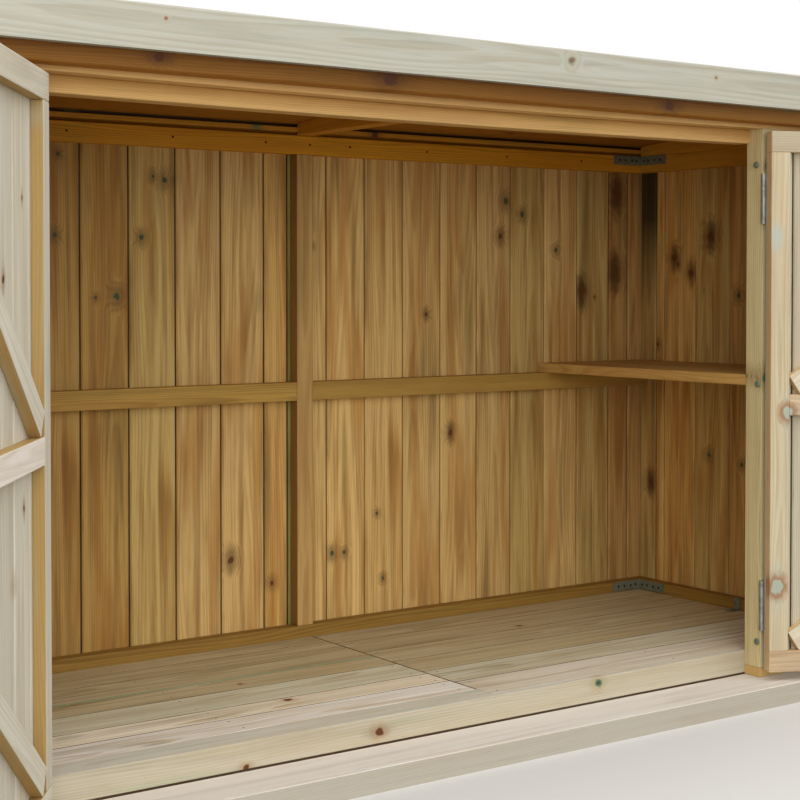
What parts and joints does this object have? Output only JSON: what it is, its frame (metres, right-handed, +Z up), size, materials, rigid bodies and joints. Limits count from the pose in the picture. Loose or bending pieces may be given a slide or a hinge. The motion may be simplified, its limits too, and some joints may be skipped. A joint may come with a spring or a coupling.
{
  "type": "bike shelter",
  "caption": "Low timber bike shelter with a shallow lean-to roof, tongue-and-groove walls, a boarded floor, a corner shelf and a pair of framed, braced hinged doors.",
  "frame": {"origin": "on the ground under the middle of the walls' plan", "axes": "+X along the front to the right as seen from the front, +Y to the back wall, +Z up; the doors open towards -Y"},
  "size_m": [3.1053, 1.6136, 1.433],
  "materials": {
    "pale_timber": "pressure-treated softwood, planed, bare",
    "wall_timber": "pressure-treated softwood, planed, bare",
    "floor_timber": "pressure-treated softwood, bare",
    "roof_felt": "mineral roofing felt, matt",
    "galvanised_steel": "galvanised steel, dull"
  },
  "bodies": {
    "shelter": {"sill_board": "pale_timber", "roof_fascia": "pale_timber", "left_roof_edge": "pale_timber", "right_roof_edge": "pale_timber", "left_post": "pale_timber", "right_post": "pale_timber", "front_panel": "pale_timber", "front_panel_rails": "pale_timber", "back_wall": "wall_timber", "front_plates": "wall_timber", "back_rails": "wall_timber", "back_stud": "wall_timber", "left_wall": "wall_timber", "left_rails": "wall_timber", "right_wall": "wall_timber", "right_rails": "wall_timber", "door_head": "wall_timber", "shelf": "wall_timber", "roof_front_rail": "wall_timber", "roof_front_batten": "wall_timber", "roof_back_rail": "wall_timber", "roof_rafters": "wall_timber", "roof_deck": "wall_timber", "floor_beam": "floor_timber", "floor_left": "floor_timber", "floor_right": "floor_timber", "floor_joists": "floor_timber", "back_bearer": "floor_timber", "left_bearer": "floor_timber", "right_bearer": "floor_timber", "roof_felt": "roof_felt", "angle_brackets": "galvanised_steel", "left_post_hinges": "galvanised_steel", "right_post_hinges": "galvanised_steel"},
    "left_door": {"left_door_boards": "pale_timber", "left_door_rails": "pale_timber", "left_door_stiles": "pale_timber", "left_door_braces": "pale_timber", "left_door_hinges": "galvanised_steel"},
    "right_door": {"right_door_boards": "pale_timber", "right_door_rails": "pale_timber", "right_door_stiles": "pale_timber", "right_door_braces": "pale_timber", "right_door_hinges": "galvanised_steel"}
  },
  "joints": [
    {"name": "left_door_hinge", "type": "hinge", "parent": "shelter", "child": "left_door", "pos_m": [-1.033, -0.4185, 0.684], "axis": [0, 0, 1], "range_deg": [-50, 125]},
    {"name": "right_door_hinge", "type": "hinge", "parent": "shelter", "child": "right_door", "pos_m": [0.751, -0.4185, 0.684], "axis": [0, 0, 1], "range_deg": [-156, 19]}
  ]
}
